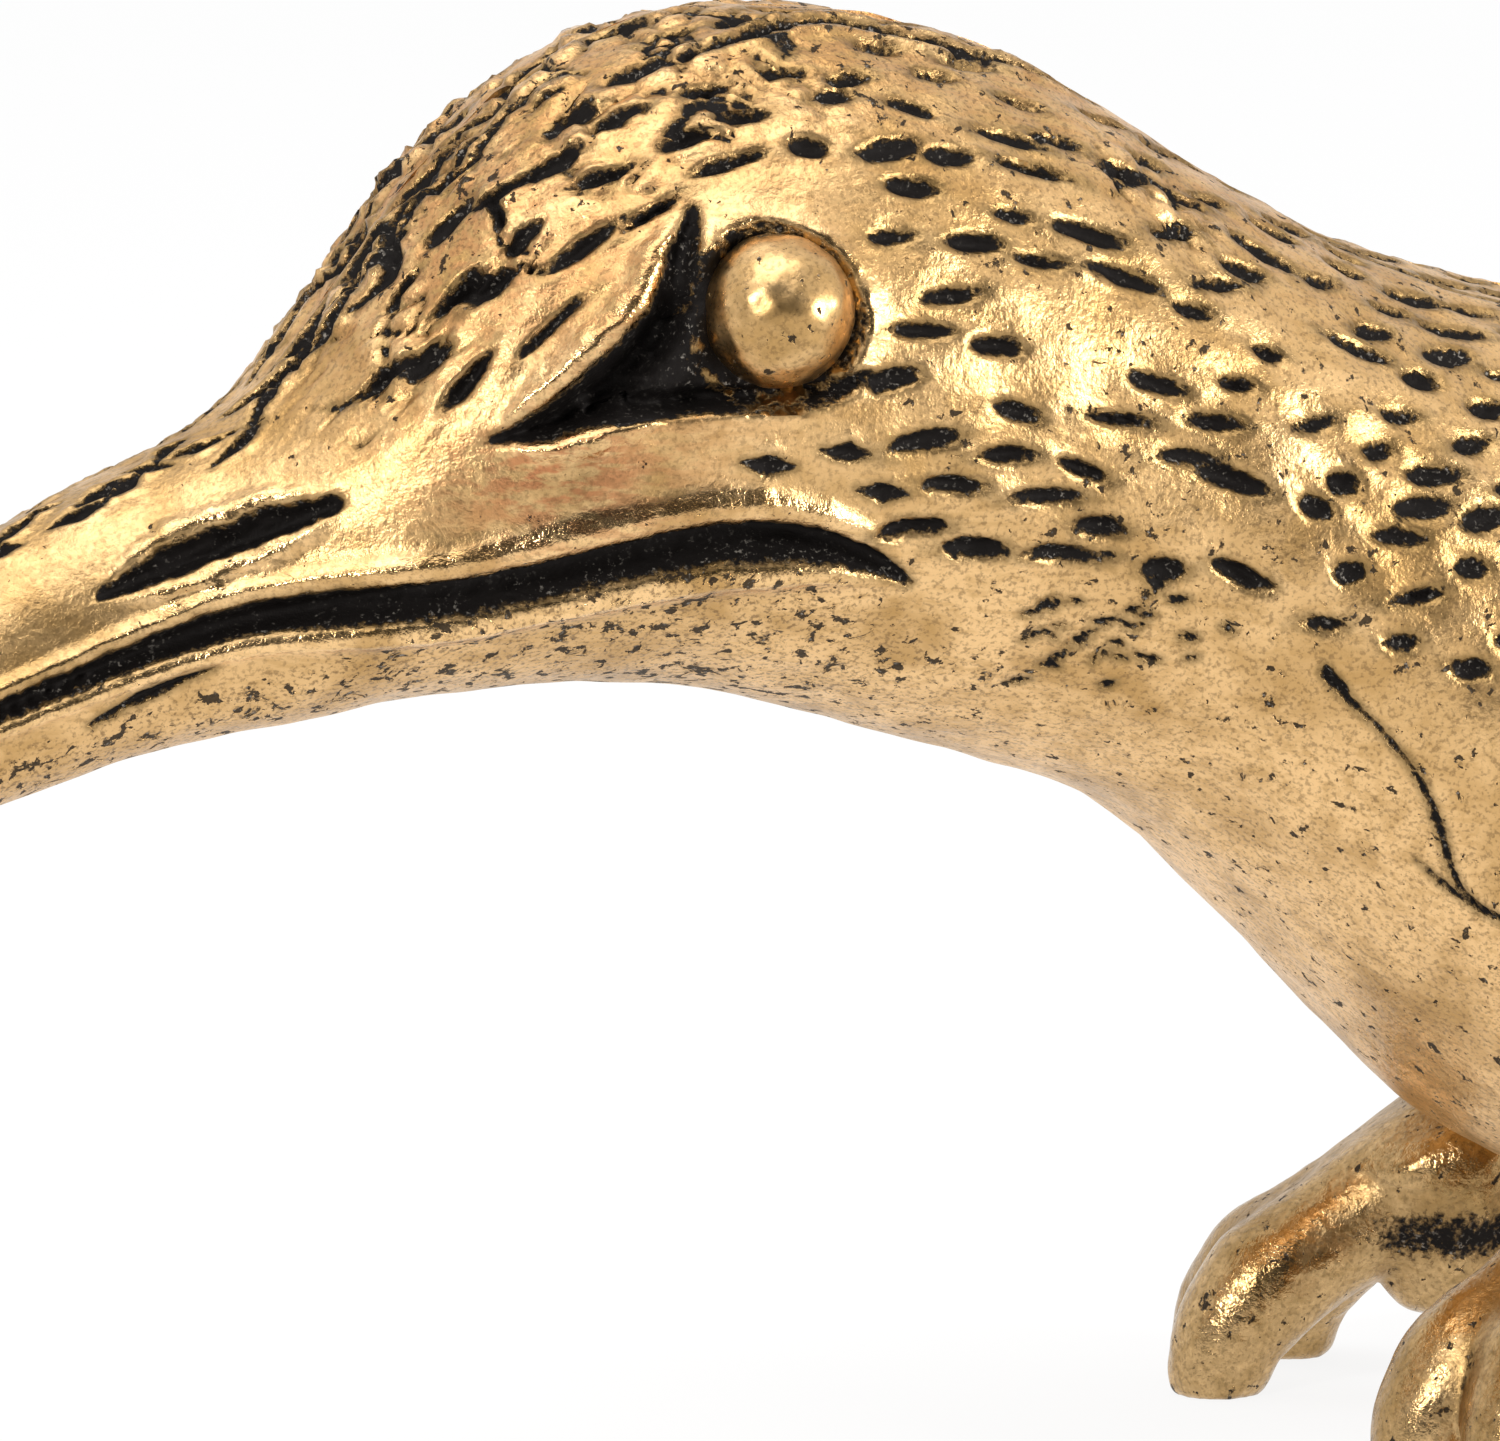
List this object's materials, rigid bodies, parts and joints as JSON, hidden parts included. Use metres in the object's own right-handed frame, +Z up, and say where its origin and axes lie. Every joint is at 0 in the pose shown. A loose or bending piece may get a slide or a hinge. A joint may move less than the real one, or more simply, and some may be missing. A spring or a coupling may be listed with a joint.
{
  "type": "hummingbird figurine",
  "caption": "Standing brass hummingbird ornament with a long straight beak, bead eyes, folded wings, a fanned tail and arched toes.",
  "frame": {"origin": "on the table under the middle of the bird's bounding box", "axes": "the bird looks along -X with its tail towards +X, +Y is towards its right side and +Z is up"},
  "size_m": [0.0621, 0.0136, 0.0191],
  "materials": {
    "antique_brass": "cast, blackened in the recesses and polished on the high places",
    "burnished_brass": "polished bead",
    "drawn_brass": "plain drawn rod, hidden"
  },
  "bodies": {
    "root": {"body_left": "antique_brass", "body_right": "antique_brass", "wing_left": "antique_brass", "wing_right": "antique_brass", "tail": "antique_brass", "leg_left": "antique_brass", "leg_right": "antique_brass", "eye_left": "burnished_brass", "eye_right": "burnished_brass", "neck_dowel": "drawn_brass", "trunk_dowel": "drawn_brass"}
  },
  "joints": []
}
